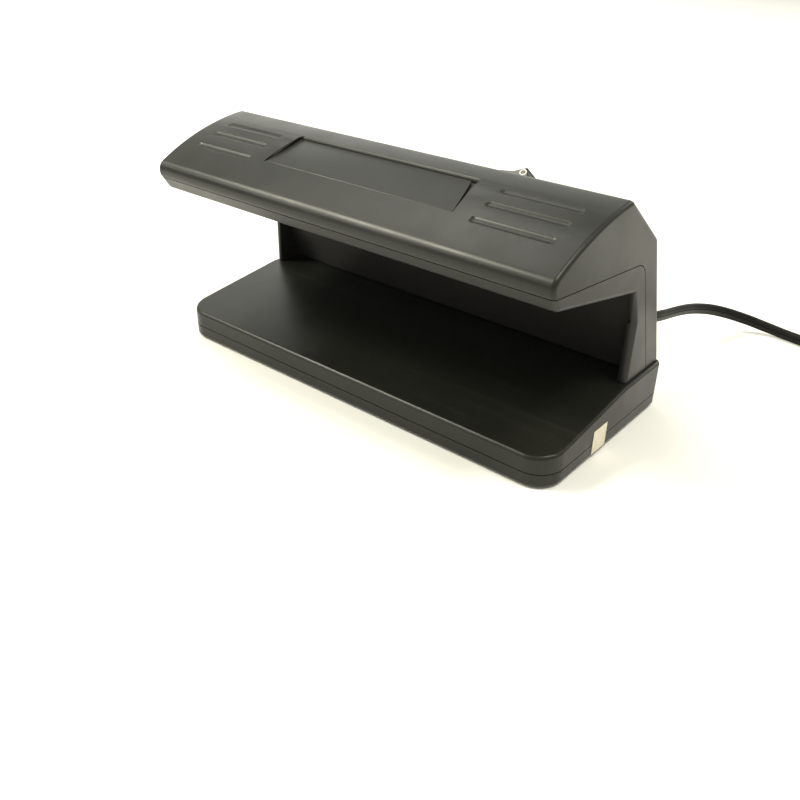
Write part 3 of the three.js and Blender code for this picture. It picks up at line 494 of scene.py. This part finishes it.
def coil_points():
    """The turns: in along the floor layer, up at the inside, and out again along the upper layer."""
    outer = COIL_OUTER - CORD_T / 2 - COIL_CLEARANCE
    total = (COIL_START + COIL_TURNS * 360 - COIL_SHORT) / 360
    layer = (total - ENTRY_TURNS - CLIMB_TURNS) / 2
    inner = outer - COIL_PITCH * layer
    points = []
    steps = round(total * COIL_STEPS)
    for i in range(steps + 1):
        turn = total * i / steps
        past_entry = turn - ENTRY_TURNS
        past_layer = past_entry - layer
        r, z = inner, FLOOR_Z + CORD_W
        if past_entry < 0:
            r, z = outer + ENTRY_OFFSET * (1 - ease(turn / ENTRY_TURNS)), FLOOR_Z
        elif past_layer < 0:
            r, z = outer - COIL_PITCH * past_entry, FLOOR_Z
        elif past_layer < CLIMB_TURNS:
            z = FLOOR_Z + CORD_W * ease(past_layer / CLIMB_TURNS)
        else:
            r = inner + COIL_PITCH * (past_layer - CLIMB_TURNS)
        angle = math.radians(COIL_START) - 2 * math.pi * turn
        points.append((COIL_X + r * math.cos(angle), COIL_Y + r * math.sin(angle), z))
    return points


def spline(points, per_span):
    """A Catmull-Rom curve through the points."""
    line = []
    padded = [points[0] * 2 - points[1], *points, points[-1] * 2 - points[-2]]
    for i in range(1, len(padded) - 2):
        p0, p1, p2, p3 = padded[i - 1 : i + 3]
        linear = p2 - p0
        square = 2 * p0 - 5 * p1 + 4 * p2 - p3
        cube = 3 * p1 - p0 - 3 * p2 + p3
        for k in range(per_span):
            t = k / per_span
            line.append(0.5 * (2 * p1 + linear * t + square * t**2 + cube * t**3))
    line.append(points[-1])
    return line


def flat_section():
    """Outline of a flat two-core cord: two round cores under one skin with a shallow waist."""
    half_w, half_t = CORD_W * MM / 2, CORD_T * MM / 2
    reach = half_w - half_t
    outline = []
    for side in (1, -1):
        for i in range(ARC_STEPS + 1):
            angle = side * math.pi / 2 - math.pi / 2 + math.pi * i / ARC_STEPS
            u = side * reach + half_t * math.cos(angle)
            outline.append((u, half_t * math.sin(angle)))
        outline.append((0.0, side * half_t * CORD_WAIST))
    return outline


def add_cord():
    finished("cord_bushing", "strain_relief", "housing", "vinyl", angle=SMALL_PIECE_ANGLE)
    finished("plug_body", "plug_shell", "housing", "vinyl", angle=SMALL_PIECE_ANGLE)
    whole = [at(*p) for p in [*ROUTE, *coil_points(), *TAIL]]
    line = spline(whole, SPLINE_STEPS)
    outline = flat_section()
    turn_from = len(line) - SPLINE_STEPS * (len(TAIL) + TURN_LEAD)
    rings = []
    shape = bmesh.new()
    for i, point in enumerate(line):
        ahead = line[min(i + 1, len(line) - 1)] - line[max(i - 1, 0)]
        ahead.normalize()
        side = ahead.cross(Vector((0, 0, 1))).normalized()
        up = side.cross(ahead).normalized()
        lie = min(max((i - turn_from) / (SPLINE_STEPS * TURN_SPANS), 0), 1)
        twist = math.pi / 2 * ease(lie)
        wide = up * math.cos(twist) + side * math.sin(twist)
        thin = side * math.cos(twist) - up * math.sin(twist)
        rings.append([shape.verts.new(point + wide * u + thin * v) for u, v in outline])
    for first, second in zip(rings, rings[1:]):
        for k in range(len(outline)):
            n = (k + 1) % len(outline)
            shape.faces.new((first[k], first[n], second[n], second[k]))
    shape.faces.new(rings[0][::-1])
    shape.faces.new(rings[-1])
    bmesh.ops.recalc_face_normals(shape, faces=shape.faces)
    mesh = bpy.data.meshes.new("mains_cord")
    shape.to_mesh(mesh)
    shape.free()
    cord = link("mains_cord", mesh, "housing", "vinyl")
    smooth(cord, CORD_ANGLE)
    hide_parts("power_cord", "cord_coil", "cord_tail")


# ---- the pieces that show ----
# Width of the broken edges, in metres.
PLATE_EDGE = 0.0004
ROCKER_EDGE = 0.0002


def add_housing():
    """The moulded pieces, each in place of its CAD node."""
    finished(
        "outer_cover", "hood_cover", "housing", "housing", shaping=soften_label_rim
    )
    finished("inner_shell", "hood_inner_shell", "housing", "shell")
    finished("base_upper", "base_top_shell", "housing", "housing")
    finished("base_lower", "base_bottom_tray", "housing", "housing")
    finished("label_plate", "blank_label_plate", "housing", "label", PLATE_EDGE)
    finished("seal_sticker", "side_seal", "housing", "seal")
    finished("power_switch_body", "switch_bezel", "housing", "switch")
    finished("power_rocker", "switch_rocker", "rocker", "switch", ROCKER_EDGE)


# ---- marks on the rocker: millimetres ----
SWITCH_PLACE = (41.3, 44.9, 81.543)
DOWN_SLOPE = Vector((0, 0.78955, -0.61369))
OFF_SLOPE = Vector((0, 0.61369, 0.78955))
ROCKER_TILT = math.radians(16)
ROCKER_ALONG = Vector((math.cos(ROCKER_TILT), 0, 0)) + OFF_SLOPE * math.sin(ROCKER_TILT)
ROCKER_UP = OFF_SLOPE * math.cos(ROCKER_TILT) - Vector((math.sin(ROCKER_TILT), 0, 0))
MARK_PROUD = 0.06
MARK_SUNK = 0.12
MARK_STEPS = 36
# Each lobe's top face rises outwards by 0.48 over 3.3; its mark sits in the middle of the face.
LOBE_RISE = math.atan2(0.48, 3.3)
LOBE_MIDDLE = (3.25, 3.757)
SIDE_MARK = (4.05, -3.9, 2.3)


def on_rocker(u, w, v):
    """A place on the rocker: u along it, w down the slope, v out of it, from its pivot."""
    return at(*SWITCH_PLACE) + (ROCKER_ALONG * u + DOWN_SLOPE * w + ROCKER_UP * v) * MM


def add_mark(name, centre, first, second, outer, inner):
    """A thin printed ring, or a solid bar where there is no inner size."""
    out = first.cross(second).normalized()
    shape = bmesh.new()
    loops = []
    edges = [(outer, -MARK_SUNK), (outer, MARK_PROUD)]
    if inner is not None:
        edges += [(inner, MARK_PROUD), (inner, -MARK_SUNK)]
    for half, height in edges:
        ring = []
        for i in range(MARK_STEPS):
            angle = 2 * math.pi * i / MARK_STEPS
            a, b = half[0] * math.cos(angle), half[1] * math.sin(angle)
            ring.append(shape.verts.new(centre + (first * a + second * b + out * height) * MM))
        loops.append(ring)
    pairs = list(zip(loops, loops[1:]))
    if inner is None:
        shape.faces.new(loops[0][::-1])
        shape.faces.new(loops[-1])
    else:
        pairs.append((loops[-1], loops[0]))
    for one, other in pairs:
        for k in range(MARK_STEPS):
            n = (k + 1) % MARK_STEPS
            shape.faces.new((one[k], one[n], other[n], other[k]))
    bmesh.ops.recalc_face_normals(shape, faces=shape.faces)
    mesh = bpy.data.meshes.new(name)
    shape.to_mesh(mesh)
    shape.free()
    smooth(link(name, mesh, "rocker", "mark"), SMALL_PIECE_ANGLE)


def add_rocker_marks():
    """A ring and a bar on the two lobes, and a small ring on the side."""
    for side, name, outer, inner in (
        (1, "mark_off_ring", (1.25, 1.5), (0.87, 1.12)),
        (-1, "mark_on_bar", (0.22, 1.5), None),
    ):
        along = ROCKER_ALONG * math.cos(LOBE_RISE) + ROCKER_UP * side * math.sin(LOBE_RISE)
        place = on_rocker(side * LOBE_MIDDLE[0], 0, LOBE_MIDDLE[1])
        add_mark(name, place, along, DOWN_SLOPE, outer, inner)
    add_mark(
        "mark_side_ring", on_rocker(*SIDE_MARK), ROCKER_ALONG, ROCKER_UP, (1.35, 1.05), (0.95, 0.65)
    )


# CAD nodes that keep their own shape: their material, and how their names start.
CARRIED = {
    "steel": ["base_screw_", "cover_screw_", "ballast_bracket"],
    "rubber": ["foot_"],
    "aluminium": ["tube_cap_", "reflector", "starter_can"],
    "white": ["lamp_rotor_", "lamp_holder_", "terminal_block", "starter_socket"],
    "glass": ["uv_tube_glass"],
    "core": ["ballast_core"],
    "copper": ["ballast_winding"],
    "brown": ["lead_live", "wire_switch"],
    "blue": ["lead_neutral", "wire_neutral"],
    "vinyl": ["wire_ballast", "wire_lamp"],
    "grey": ["wire_starter_"],
    "nickel": ["plug_pin_"],
}


def finish_carried_nodes():
    """The CAD nodes that keep their own shape get their materials and smooth shading."""
    for key, starts in CARRIED.items():
        for name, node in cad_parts.items():
            if not any(name.startswith(start) for start in starts):
                continue
            node.data.materials.clear()
            node.data.materials.append(MATERIALS[key])
            node.data.polygons.foreach_set("use_smooth", [True] * len(node.data.polygons))
            node.data.set_sharp_from_angle(angle=math.radians(SMALL_PIECE_ANGLE))


# ---- studio: metres and watts ----
FLOOR_HALF = 3.0
FLOOR_COLOURS = [(0.3, (0.87, 0.865, 0.84)), (0.7, (0.89, 0.885, 0.86))]
WORLD_COLOUR = (1.0, 0.99, 0.90)
WORLD_STRENGTH = 0.62
LIGHT_TARGET = Vector((0, 0, 0.04))
# Name, place, width and height, power, colour.
LIGHTS = [
    ("key_right", (0.95, 0.57, 0.95), (0.35, 0.35), 1.5, (1, 0.94, 0.80)),
    ("front_left", (-0.76, -0.50, 0.98), (0.40, 0.26), 15, (1, 0.975, 0.80)),
    ("left_overhead", (-0.66, 0.24, 1.15), (0.7, 0.45), 4, (1, 0.995, 0.90)),
    ("back_left", (-1.28, 1.28, 0.56), (1.6, 0.6), 6.6, (1, 1, 0.93)),
    ("front_low", (-0.92, -0.92, 0.75), (0.55, 0.22), 3.4, (1, 0.985, 0.88)),
    ("back_rim", (0.20, 1.45, 0.74), (0.4, 0.3), 4, (1, 0.98, 0.90)),
    ("overhead", (0.42, 0.06, 1.15), (0.3, 0.3), 7.5, (1, 0.965, 0.82)),
]


def add_area(name, place, size, power, colour):
    """A rectangular lamp that faces the detector."""
    data = bpy.data.lights.new(name, "AREA")
    data.shape = "RECTANGLE"
    data.size, data.size_y = size
    data.energy = power
    data.color = colour
    light = bpy.data.objects.new(name, data)
    scene.collection.objects.link(light)
    light.location = place
    light.rotation_mode = "QUATERNION"
    light.rotation_quaternion = (LIGHT_TARGET - Vector(place)).to_track_quat("-Z", "Y")


def add_studio():
    """A pale floor, an even sky and the lamps."""
    mesh = bpy.data.meshes.new("floor")
    corners = [(-1, -1), (1, -1), (1, 1), (-1, 1)]
    mesh.from_pydata([(x * FLOOR_HALF, y * FLOOR_HALF, 0) for x, y in corners], [], [(0, 1, 2, 3)])
    floor = bpy.data.objects.new("floor", mesh)
    scene.collection.objects.link(floor)
    material, nodes, links, shader = new_material("floor_paint")
    cloud = noise(nodes, links, 6, 3)
    links.new(ramp(nodes, links, cloud, FLOOR_COLOURS), shader.inputs["Base Color"])
    shader.inputs["Roughness"].default_value = 0.7
    mesh.materials.append(material)

    world = bpy.data.worlds.new("studio")
    scene.world = world
    world.use_nodes = True
    background = world.node_tree.nodes["Background"]
    background.inputs["Color"].default_value = (*WORLD_COLOUR, 1)
    background.inputs["Strength"].default_value = WORLD_STRENGTH
    for light in LIGHTS:
        add_area(*light)


scene.view_settings.view_transform = "Standard"
add_camera()
add_cord()
add_housing()
add_rocker_marks()
finish_carried_nodes()
add_studio()
